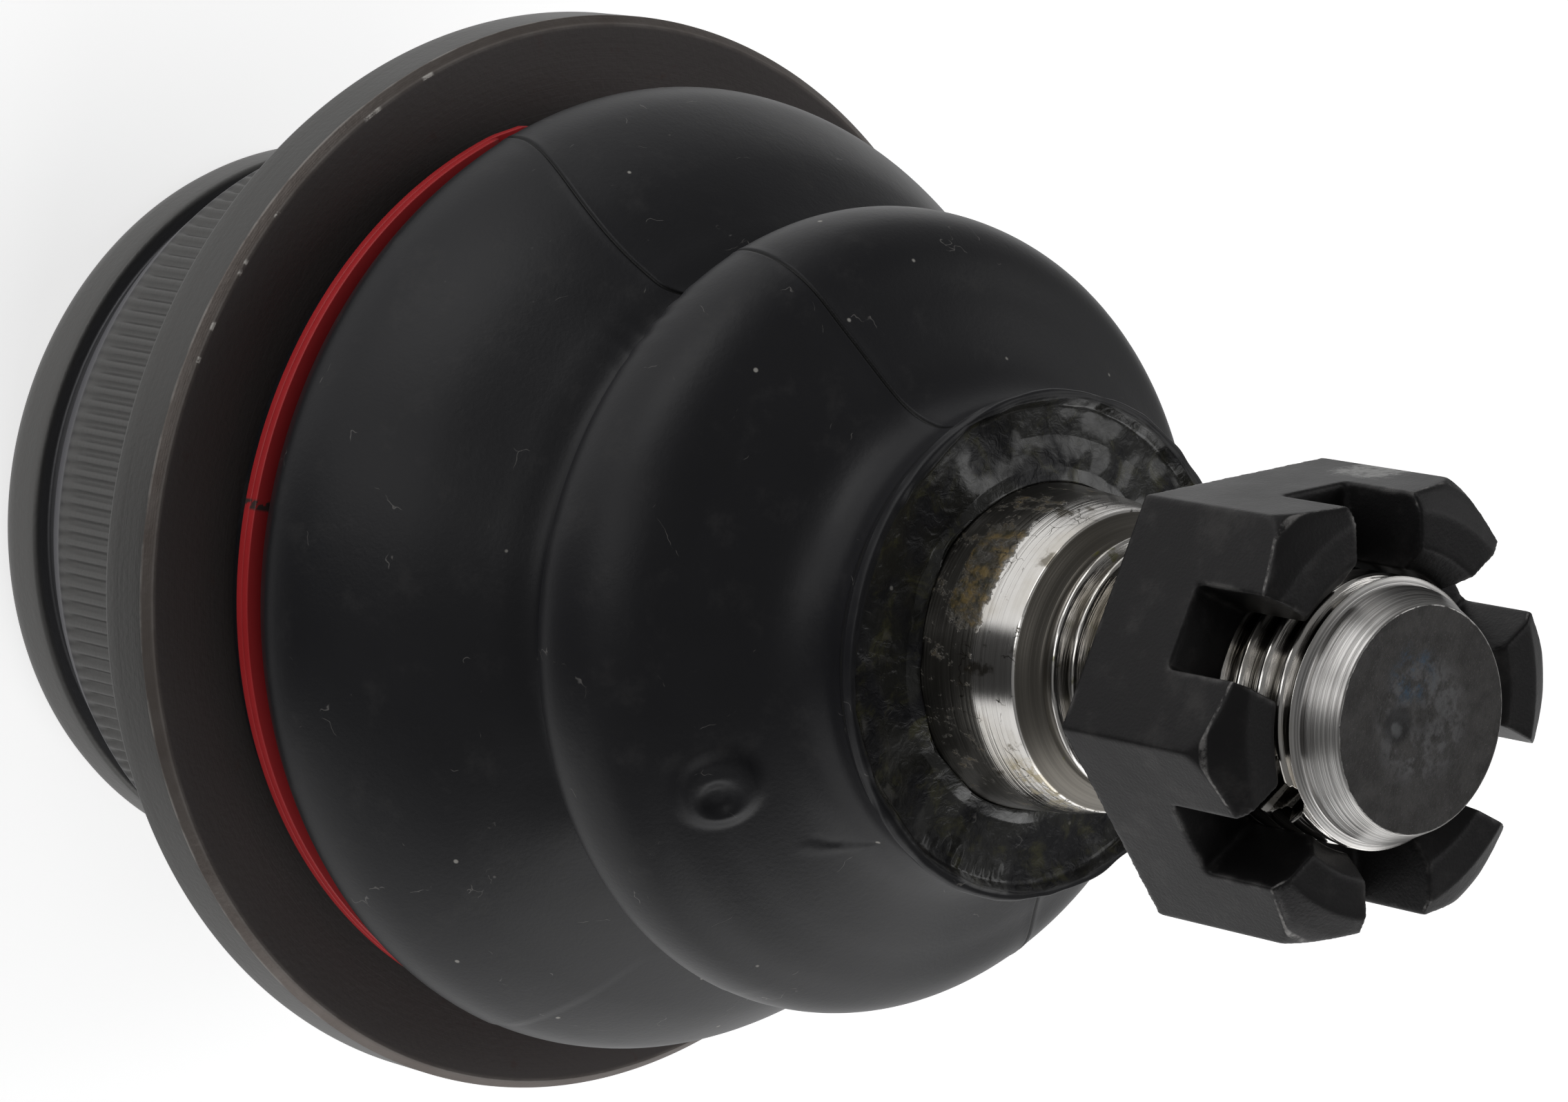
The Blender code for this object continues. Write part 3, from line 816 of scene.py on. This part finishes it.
def make_housing():
    """Flanged housing with rolled rim, snap-ring groove and ribbed press fit."""
    back = FLANGE_Z - FLANGE_THICKNESS
    low, high = NOSE_GROOVE_Z
    foot, top = GROOVE_Z
    corners = [(RIM_LIP_R, BASE_Z, 0.3), (RIM_R, BASE_Z, RIM_CORNER_R), (RIM_R, foot, 0.3)]
    corners += [(GROOVE_R, foot, 0.15), (GROOVE_R, top, 0.15)]
    corners += [(BODY_R - 1.0, top, 0.25), (BODY_R, RIB_START_Z, 0.5)]
    corners += [(BODY_R, back, 0.4), (FLANGE_R, back, 0.35), (FLANGE_R, FLANGE_Z - FLANGE_BEVEL, 0.1)]
    corners += [(FLANGE_R - FLANGE_BEVEL, FLANGE_Z, 0.12), (NOSE_R, FLANGE_Z, 0.2), (NOSE_R, low, 0.1)]
    corners += [(NOSE_GROOVE_R, low, 0.1), (NOSE_GROOVE_R, high, 0.1), (NOSE_R, high, 0.1)]
    corners += [(NOSE_R, MOUTH_Z - 1.0, 0.2), (NOSE_R - 1.0, MOUTH_Z, 0.3), (MOUTH_R, MOUTH_Z, 0.4)]
    corners += [(*MOUTH_EDGE, 0.2)] + arc(BORE_R, 54, 90, 9) + [(BORE_R, BORE_FOOT_Z, 0.1)]
    corners += [(CAP_BORE_R, BORE_FOOT_Z, 0.1), (CAP_BORE_R, RIM_LIP_Z, 0.2), (RIM_LIP_R, RIM_LIP_Z, 0.2)]
    outline = rounded(corners, 0.9)
    samples = 6
    tooth = np.array([1.0, 1.0, 0.55, 0.0, 0.0, 0.55])

    def ribs(r, z, azimuth):
        column = np.rint(azimuth / 360.0 * RIB_COUNT * samples).astype(int) % samples
        valley = 1.0 - tooth[column]
        on_body = bump_at(r, BODY_R, 0.3) * step_up(z, RIB_START_Z, RIB_START_Z + 0.45)
        on_body = on_body * (z < back - 0.2)
        return r - valley * on_body * RIB_DEPTH, z, azimuth

    housing = revolve("housing_body", outline, RIB_COUNT * samples, ribs)
    finish_piece(housing, housing_steel(), "housing", "housing")


def make_end_cap():
    """Pressed cover with a stiffening dish."""
    flat, dish = CAP_FOOT_Z + 0.6, CAP_TOP_Z - 0.6
    foot = [(0.0, CAP_FOOT_Z), (8.0, CAP_FOOT_Z, 0.8), (9.5, flat, 0.8), (CAP_R, flat, 0.2)]
    top = [(CAP_R, CAP_TOP_Z, 0.3), (10.2, CAP_TOP_Z, 0.8), (8.7, dish, 0.8), (0.0, dish)]
    outline = rounded(foot + top, 0.8, closed=False)
    cap = revolve("end_cap_plate", outline, 192)
    finish_piece(cap, pressed_steel(), "end_cap", "housing")


def make_spring():
    """Conical disc spring."""
    hole_r, thickness = 7.0, 0.5
    corners = [(hole_r, SPRING_TOP_Z - thickness, 0.1), (SPRING_R, SPRING_FOOT_Z, 0.1)]
    corners += [(SPRING_R, SPRING_FOOT_Z + thickness, 0.1), (hole_r, SPRING_TOP_Z, 0.1)]
    spring = revolve("preload_disc_spring", rounded(corners, 0.8), 160)
    finish_piece(spring, spring_steel(), "preload_spring", "housing")


def make_bearings():
    """Cup under the ball and ring over it, both with grease grooves."""
    plastic = bearing_plastic()
    cup_r = BALL_R + 0.3

    def grooves(r, z, azimuth):
        groove = bump_at(azimuth % 45.0, 22.5, 3.5) * 0.5
        inside = bump_at(np.hypot(r, z), cup_r, 0.4) * step_up(np.abs(z), 4.0, 5.5)
        return r + groove * inside * 0.8, z, azimuth

    start = math.degrees(math.acos(LINER_SPLIT_Z / cup_r))
    end = 180.0 - math.degrees(math.asin(4.0 / cup_r))
    corners = arc(cup_r, start, end, 30) + [(4.0, LINER_FOOT_Z, 0.3), (LINER_R - 1.0, LINER_FOOT_Z, 0.3)]
    corners += [(LINER_R, LINER_FOOT_Z + 1.0, 0.3), (LINER_R, LINER_SPLIT_Z, 0.2)]
    cup = revolve("lower_bearing_cup", rounded(corners, 0.7), 240, grooves)
    finish_piece(cup, plastic, "lower_bearing", "lower_bearing")

    top_angle = 58.0
    corners = [(LINER_R, UPPER_FOOT_Z, 0.2)] + arc(LINER_R, 90, top_angle, 20)
    corners += arc(cup_r, top_angle, 90, 20) + [(cup_r, UPPER_FOOT_Z, 0.2)]
    ring = revolve("upper_bearing_ring", rounded(corners, 0.7), 240, grooves)
    finish_piece(ring, plastic, "upper_bearing", "housing")


def taper_r(z):
    """Radius of the stud's 1 in 6 taper, or of the shank below it."""
    return SHANK_R - np.maximum(z - TAPER_Z, 0.0) / 12.0


def thread_depth(z, azimuth):
    """Depth of the M14 x 1.5 right-hand thread below its crest at each point."""
    phase = (z / THREAD_PITCH - azimuth / 360.0) % 1.0
    away = np.abs(phase - 0.5) * 2.0  # 1 on the crest line, 0 in the root
    profile = np.clip((0.86 - away) / 0.62, 0.0, 1.0)
    run = between(z, (THREAD_Z[0], THREAD_Z[0] + 0.3), (THREAD_Z[1] - 0.25, THREAD_Z[1] + 0.1))
    return THREAD_DEPTH * profile * run


def make_stud():
    """Ball stud with its taper, thread, split-pin hole and centre mark."""
    start, stop = THREAD_Z
    neck_angle = math.degrees(math.asin(NECK_R / BALL_R))
    foot_angle = 180.0 - math.degrees(math.acos(-BALL_FOOT_Z / BALL_R))
    lower = [(0.0, BALL_FOOT_Z), (BALL_R * math.sin(math.radians(foot_angle)), BALL_FOOT_Z, 0.3)]
    lower += arc(BALL_R, foot_angle - 1.5, neck_angle + 1.0, 56)
    lower += [(NECK_R, 11.9, 1.2), (NECK_R, 20.0, 4.0), (SHANK_R, 30.0, 3.0), (SHANK_R, TAPER_Z, 0.4)]
    lower += [(taper_r(TAPER_CHAMFER_Z), TAPER_CHAMFER_Z, 0.3), (TAPER_TOP_R, TAPER_TOP_Z, 0.2)]
    lower += [(THREAD_R + 0.5, start - 0.5, 0.2), (THREAD_R + 0.05, start - 0.1, 0.15)]
    outline = rounded(lower + [(THREAD_R, start)], 0.8, closed=False, turns=5)[:-1]
    rows = math.ceil((stop - start) / 0.075)
    outline += [(THREAD_R, z) for z in np.linspace(start, stop, rows)]
    end = [(THREAD_R, stop), (THREAD_R, stop + 0.15, 0.05)]
    end += [(PILOT_R - 0.1, stop + 0.42, 0.15), (PILOT_R, stop + 0.8, 0.2)]
    end += [(STUD_END_R, STUD_END_Z, 0.1), (0.0, STUD_END_Z)]
    outline += rounded(end, 0.25, closed=False)[1:]

    def turned(r, z, azimuth):
        on_thread = (z > start - 0.01) & (z < stop + 0.12) & (r > THREAD_R - 0.1)
        r = np.where(on_thread, r - thread_depth(z, azimuth), r)
        x, y = cartesian(r, azimuth)
        on_end = (z > STUD_END_Z - 0.01) & (r < STUD_END_R - 0.15)
        stamped = bump_at(np.hypot(x - PIT_AT[0], y - PIT_AT[1]), 0.0, 1.1) * 0.25
        stamped += bump_at(np.hypot(x + 0.5, y - 0.2), 0.0, 1.6) * 0.12
        uneven = 0.03 * lumps(x, y, 0 * x, 0.9, seed=12) * (1 - step_up(r, 2.5, 4.0))
        return r, z - on_end * (stamped - uneven + 0.03), azimuth

    stud = revolve("ball_stud_turned", outline, 192, turned)
    drill = revolve("drill", [(0.0, -12.0), (PIN_HOLE_R, -12.0), (PIN_HOLE_R, 12.0), (0.0, 12.0)], 48)
    turn = Euler((0.0, math.radians(90), math.radians(PIN_AZIMUTH))).to_matrix().to_4x4()
    place = Matrix.Translation((0.0, 0.0, (PIN_HOLE_Z + BALL_HEIGHT) * MM))
    drill.data.transform(place @ turn @ Matrix.Translation((0.0, 0.0, -BALL_HEIGHT * MM)))
    cut(stud, drill)
    finish_piece(stud, stud_steel(), "ball_stud", "stud")


def make_nut():
    """Castle nut with a chamfered crown, slots and rounded edges."""
    below, above = NUT_SEAT_Z - 1.0, NUT_TOP_Z + 1.0
    bar = [(0.0, below), (NUT_CORNER_R, below), (NUT_CORNER_R, above), (0.0, above)]
    hexagon = revolve("castle_nut_body", bar, 6)
    outer = NUT_CORNER_R + 0.05
    mouth = NUT_MOUTH_R - NUT_BORE_R
    chamfer = (outer - NUT_CROWN_R) * math.tan(math.radians(30))
    corners = [(NUT_BORE_R, NUT_SEAT_Z + mouth), (NUT_MOUTH_R, NUT_SEAT_Z), (outer, NUT_SEAT_Z)]
    corners += [(outer, NUT_TOP_Z - chamfer, NUT_CROWN_FILLET), (NUT_CROWN_R, NUT_TOP_Z)]
    corners += [(NUT_MOUTH_R, NUT_TOP_Z), (NUT_BORE_R, NUT_TOP_Z - mouth)]
    blank = revolve("blank", rounded(corners, 20.0), 144)
    cut(hexagon, blank, "INTERSECT")
    for k in range(3):
        cut(hexagon, make_slot_bar(30.0 + 60.0 * k))
    hexagon.data.transform(Matrix.Scale(1 / MM, 4))  # voxels this small need a larger model
    remesh = hexagon.modifiers.new("remesh", "REMESH")
    remesh.mode = "VOXEL"
    remesh.voxel_size = NUT_VOXEL
    rounding = hexagon.modifiers.new("rounding", "SMOOTH")
    rounding.factor = 0.5
    rounding.iterations = NUT_ROUNDING
    apply_modifiers(hexagon)
    hexagon.data.transform(Matrix.Scale(MM, 4))
    hexagon.data.shade_smooth()
    finish_piece(hexagon, nut_phosphate(), "castle_nut", "nut")


def make_slot_bar(azimuth):
    """Box that cuts one slot on each side of the nut."""
    half_long, half_wide = 20.0, NUT_SLOT_WIDTH / 2
    low, high = NUT_TOP_Z - NUT_SLOT_DEPTH, NUT_TOP_Z + 2.0
    along = np.array((*cartesian(half_long, azimuth), 0.0))
    across = np.array((*cartesian(half_wide, azimuth + 90.0), 0.0))
    verts = [along * a + across * b + (0.0, 0.0, z) for z in (low, high) for a, b in SQUARE]
    faces = [(3, 2, 1, 0), (4, 5, 6, 7), (0, 1, 5, 4), (1, 2, 6, 5), (2, 3, 7, 6), (3, 0, 4, 7)]
    return new_object("slot_bar", verts, faces)


def seam_shift(z, shift):
    """How far a parting line strays from its own azimuth."""
    return shift * between(z, (17.0, 27.0), (28.0, 31.0))


def boot_relief(r, z, azimuth):
    """Height of the boot's outer skin over its plain outline."""
    height = 0.0 * r
    reach = np.radians(1.0) * r
    along_seam = between(z, (SEAM_Z[0], SEAM_Z[0] + 1.0), (SEAM_Z[1] - 0.7, SEAM_Z[1]))
    for seam, shift in SEAMS:
        off = np.abs(angle_off(azimuth, seam + seam_shift(z, shift))) * reach
        height += along_seam * (0.05 * bump_at(off, 0.0, 0.7) - 0.16 * bump_at(off, 0.0, 0.17))

    # raised gate mark on the upper fold, with an off-centre hollow in it
    across = angle_off(azimuth, BOSS_AZIMUTH) * reach
    along = (z - BOSS_Z) * 1.71
    boss = 1.0 - step_up(np.hypot(across, along), BOSS_R - 0.9, BOSS_R)
    crater = 1.0 - step_up(np.hypot(across - 0.4, along + 0.2), 0.35 * CRATER_R, CRATER_R)
    height += 0.4 * boss - 0.38 * crater

    # crease running up to the lip
    t = angle_off(azimuth, CREASE_AZIMUTHS[0]) / (CREASE_AZIMUTHS[1] - CREASE_AZIMUTHS[0])
    crease_z = CREASE_Z[0] + (CREASE_Z[1] - CREASE_Z[0]) * np.clip(t, 0, 1) ** 2
    fade = between(t, (0.0, 0.25), (1.0, 1.3))
    height += fade * (0.05 * bump_at(z, crease_z - 0.35, 0.5) - 0.06 * bump_at(z, crease_z, 0.3))

    # stretched folds at the waist and a soft unevenness
    puckers = np.cos(np.radians(azimuth * 90.0 + z * 25.0)) * bump_at(z, 31.5, 4.0)
    height += 0.1 * puckers * bump_at(angle_off(azimuth, -114.0), 0.0, 12.0)
    height += 0.1 * bump_at(z, 29.6, 4.0) * lumps(azimuth / 11.0, z / 9.0, 0 * z, 1.0, seed=5)
    soft = between(z, (14.0, 18.0), (43.0, 46.0))
    height += 0.1 * soft * lumps(azimuth / 40.0, z / 14.0, 0 * z, 1.0, seed=9)
    return height


def lip_relief(r, z, azimuth):
    """Grease smeared over the lip's face, with fine ripples near its rim on one side."""
    x, y = cartesian(r, azimuth)
    height = 0.20 * lumps(x, y, 0 * z, 2.8, seed=2) + 0.07 * lumps(x, y, 0 * z, 1.1, seed=3)
    ripples = np.cos(np.radians(azimuth * 120.0)) * bump_at(angle_off(azimuth, 4.0), 0.0, 24.0)
    height += 0.05 * ripples * bump_at(r, 12.4, 1.0)
    return height


def make_boot():
    """Two-fold bellows with a foot under the ring and a greasy lip round the stud."""
    fold = [(25.3, 13.25), (26.2, 13.6), (27.3, 15.25), (FOLD_R, 16.8), (27.0, 19.6), (24.6, 23.8)]
    waist = [(21.2, 27.7), (19.5, 29.8), (20.8, 31.5)]
    upper_fold = [(22.3, 33.6), (22.1, 36.4), (20.7, 38.7), (17.9, 40.7), (14.2, 43.3), (13.0, 45.4)]
    outer = smooth(fold + waist + upper_fold + [(13.15, 47.2)], 0.33)
    stud_r = taper_r(LIP_Z)
    rim = [(13.15, 47.2), (13.75, 48.1, 0.25), (13.85, LIP_Z, 0.2), (13.3, LIP_Z, 0.2)]
    face = [(12.9, LIP_Z - 0.6, 0.3), (11.3, LIP_Z - 0.65, 0.5), (9.6, LIP_Z - 0.5, 0.4)]
    edge = [(stud_r + 0.04, LIP_Z - 0.15, 0.05), (stud_r + 0.06, LIP_Z - 0.35, 0.1)]
    bore = [(LIP_BORE_R, LIP_Z - 1.3, 0.3), (LIP_BORE_R, 46.9)]
    lip = rounded(rim + face + edge + bore, 0.2, closed=False)
    pocket_r = COLLAR_RING_R + 0.3
    pocket = [(LIP_BORE_R, 46.9), (pocket_r, 46.9, 0.1), (pocket_r, 44.4, 0.1), (LIP_BORE_R, 44.4, 0.1)]
    collar = rounded(pocket + [(LIP_BORE_R, 42.4, 0.4), (13.0, 41.0)], 0.5, closed=False)
    under_upper = [(13.0, 41.0), (17.2, 39.3), (20.2, 36.5), (20.4, 34.0), (18.6, 31.2), (17.6, 29.6)]
    under_lower = [(19.6, 27.0), (22.8, 23.0), (25.3, 19.0), (25.6, 17.0), (24.6, 15.2)]
    inside = smooth(under_upper + under_lower, 0.6)
    near, deep = NOSE_R + 0.3, NOSE_GROOVE_R + 0.3
    low, high = NOSE_GROOVE_Z[0] + 0.3, NOSE_GROOVE_Z[1] - 0.3
    bead = [(24.6, 15.2), (near, 14.4, 0.2), (near, high, 0.1), (deep, high, 0.1), (deep, low, 0.1)]
    sole = [(near, low, 0.1), (near, BOOT_FOOT_Z, 0.1), (25.9, BOOT_FOOT_Z, 0.25), (25.9, 11.65, 0.2)]
    foot = rounded(bead + sole + [(25.2, 11.65, 0.1), (25.3, 13.25)], 0.5, closed=False)
    outline = np.array(outer + lip[1:] + collar[1:] + inside[1:] + foot[1:-1])
    ahead = np.roll(outline, -1, axis=0) - np.roll(outline, 1, axis=0)
    normal = np.stack([ahead[:, 1], -ahead[:, 0]], axis=1)
    normal /= np.linalg.norm(normal, axis=1)[:, None]

    def skin(r, z, azimuth):
        row = np.arange(r.shape[1])[None, :] + 0 * r - len(outer)
        on_lip = between(row, (6, 14), (len(lip) - 12, len(lip) - 2))
        for seam, shift in SEAMS:
            azimuth = azimuth + seam_shift(z, shift) * bump_at(angle_off(azimuth, seam), 0.0, 25.0)
        push = boot_relief(r, z, azimuth) * (row < 0) + lip_relief(r, z, azimuth) * on_lip
        r, z = r + push * normal[None, :, 0], z + push * normal[None, :, 1]
        return np.maximum(r, taper_r(z) + 0.02), z, azimuth

    seams = [(azimuth, 1.2, 0.12) for azimuth, shift in SEAMS]
    columns = columns_with(480, *seams, (BOSS_AZIMUTH, 9.0, 0.3), (sum(CREASE_AZIMUTHS) / 2, 7.0, 0.4))
    boot = revolve("dust_boot_bellows", outline, columns, skin)
    finish_piece(boot, boot_rubber(), "dust_boot", "boot_base", "boot_collar", (15.0, 43.0))


def make_retaining_ring():
    """Red strip wound in two turns, stepping from the front layer to the rear one."""
    thickness = (RING_TOP_Z - RING_FOOT_Z) / 2 - 0.01
    corners = [(RING_INNER_R, -thickness / 2, 0.08), (RING_R, -thickness / 2, 0.03)]
    corners += [(RING_R, thickness / 2, 0.07), (RING_INNER_R, thickness / 2, 0.08)]
    section = rounded(corners, 0.6, turns=3)
    front = RING_TOP_Z + RING_LIFT - thickness / 2
    rear = RING_FOOT_Z + RING_LIFT + thickness / 2
    turned = np.arange(0.0, 720.0 - RING_JOG - 2.0, 1.0)[:, None]
    r, z = np.array(section).T
    r = r - RING_TUCK * between(-turned % 360.0, (4.0, 7.0), (60.0, 110.0))
    z = z + front + (rear - front) * step_up(turned, 360.0 - RING_JOG, 360.0)
    verts = np.stack([*cartesian(r, RING_END_AZIMUTH + turned), z], axis=-1).reshape(-1, 3)
    size = len(section)
    faces = [tuple(range(size)), tuple(reversed(range(len(verts) - size, len(verts))))]
    for here in range(0, len(verts) - size, size):
        for i in range(size):
            j = (i + 1) % size
            faces.append((here + j, here + i, here + size + i, here + size + j))
    ring = new_object("retaining_ring_strip", verts, faces)
    finish_piece(ring, ring_red(), "boot_retaining_ring", "boot_base")


def make_collar_ring():
    """Wire ring inside the boot's collar."""
    inner = 9.8
    corners = [(inner, COLLAR_FOOT_Z, 0.2), (COLLAR_RING_R, COLLAR_FOOT_Z, 0.2)]
    corners += [(COLLAR_RING_R, COLLAR_TOP_Z, 0.2), (inner, COLLAR_TOP_Z, 0.2)]
    ring = revolve("collar_wire_ring", rounded(corners, 0.5), 160)
    finish_piece(ring, collar_steel(), "boot_collar_ring", "boot_collar")


# ---- studio

CAMERA_AT = (47.954, -224.378, 288.896)  # from the ball centre
CAMERA_TURN = (-9.2454, -40.2906, 116.7890)
CAMERA_LENS = 142.606
FLOOR_HALF = 3000.0
FLOOR_GAP = 0.2
FLOOR_LOOK = (0.9, 0.9, 0.9)
FLOOR_BOUNCE = (0.05, 0.05, 0.05)  # its colour for light that comes off the piece
FAR_GLOW = 0.9  # light the piece gets from the floor round it
# darker wedges in that light: azimuth, half width and soft edge (degrees), start and full, share
WEDGES = (
    (-60.0, 19.0, 9.0, (49.0, 68.0), 1.0),
    (150.0, 28.0, 25.0, (105.0, 150.0), 0.75),
)
NEAR_PALE, HORIZON_PALE = 0.62, 0.93  # glow to the eye, near and where the floor meets the surround
HORIZON = (150.0, 800.0)
SURROUND_LIGHT, SURROUND_LOOK = 0.2, 0.95  # for the piece and to the eye
LIGHTS = (  # direction (right, up, towards the viewer) as the camera sees it, size (m), power (W)
    ("key", (-0.35, 0.9, 0.6), (0.35, 0.2), 0.48),
    ("left", (-0.75, 0.25, 1.0), (0.15, 0.4), 0.35),
    ("under", (0.35, -1.0, 0.0), (0.6, 0.35), 1.2),
    ("right", (1.0, 0.25, 0.1), (0.3, 0.5), 0.6),
)
LIGHT_DISTANCE = 500.0
LIGHT_TARGET_Z = 25.0


def make_camera():
    """Camera at the viewing angle of the reference: 41 degrees off the stud's axis."""
    data = bpy.data.cameras.new("camera")
    data.lens = CAMERA_LENS
    data.clip_start = 0.01
    data.clip_end = 10.0
    camera = bpy.data.objects.new("camera", data)
    camera.location = Vector(CAMERA_AT) * MM + Vector((0, 0, BALL_HEIGHT * MM))
    camera.rotation_euler = [math.radians(a) for a in CAMERA_TURN]
    bpy.context.scene.collection.objects.link(camera)
    bpy.context.scene.camera = camera
    return camera


def make_softbox(name, camera, direction, size, power):
    """Area light aimed at the middle of the boot, from a direction given as the camera sees it."""
    data = bpy.data.lights.new(name, "AREA")
    data.shape = "RECTANGLE"
    data.size, data.size_y = size
    data.energy = power
    light = bpy.data.objects.new(name, data)
    target = Vector((0.0, 0.0, (BALL_HEIGHT + LIGHT_TARGET_Z) * MM))
    away = camera.rotation_euler.to_matrix() @ Vector(direction).normalized()
    light.location = target + away * LIGHT_DISTANCE * MM
    light.rotation_euler = away.to_track_quat("Z", "Y").to_euler()
    light.visible_camera = False
    bpy.context.scene.collection.objects.link(light)


def floor_glow():
    """Floor that lights the piece all round apart from its wedges, and looks pale to the eye."""
    s = Shader("floor")
    seen = s.node("LightPath").outputs["Is Camera Ray"]
    light = FAR_GLOW
    for azimuth, half, soft, beyond, share in WEDGES:
        turn = math.radians(azimuth)
        towards = s.math("DIVIDE", s.x * math.cos(turn) + s.y * math.sin(turn), s.radius)
        wedge = towards.span(math.cos(math.radians(half + soft)), math.cos(math.radians(half)))
        light = s.mix(wedge * s.radius.span(*beyond) * share, light, 0.0)
    pale = s.mix(s.radius.span(*HORIZON), NEAR_PALE, HORIZON_PALE)
    s.base = s.colour(seen, FLOOR_BOUNCE, FLOOR_LOOK)
    s.set_inputs(s.surface, Emission_Color=(1.0, 1.0, 1.0), Emission_Strength=s.mix(seen, light, pale))
    return s.finish(Roughness=0.9)


def make_floor():
    """Plain pale floor just under the base."""
    verts = [(x * FLOOR_HALF, y * FLOOR_HALF, BASE_Z - FLOOR_GAP) for x, y in SQUARE]
    floor = new_object("floor", verts, [(0, 1, 2, 3)])
    floor.data.materials.append(floor_glow())
    store_rest(floor.data)


def make_studio():
    """Camera, floor, soft lights and an even pale surround."""
    camera = make_camera()
    make_floor()
    for name, direction, size, power in LIGHTS:
        make_softbox(name, camera, direction, size, power)
    world = bpy.data.worlds.new("surround")
    world.use_nodes = True
    tree = world.node_tree
    background = tree.nodes["Background"]
    background.inputs[0].default_value = (1.0, 1.0, 1.0, 1.0)
    path = tree.nodes.new("ShaderNodeLightPath")
    level = tree.nodes.new("ShaderNodeMapRange")
    level.inputs["To Min"].default_value = SURROUND_LIGHT
    level.inputs["To Max"].default_value = SURROUND_LOOK
    tree.links.new(path.outputs["Is Camera Ray"], level.inputs["Value"])
    tree.links.new(level.outputs[0], background.inputs[1])
    bpy.context.scene.world = world
    bpy.context.scene.view_settings.view_transform = "Standard"


make_housing()
make_end_cap()
make_spring()
make_bearings()
make_stud()
make_nut()
make_boot()
make_retaining_ring()
make_collar_ring()
make_studio()
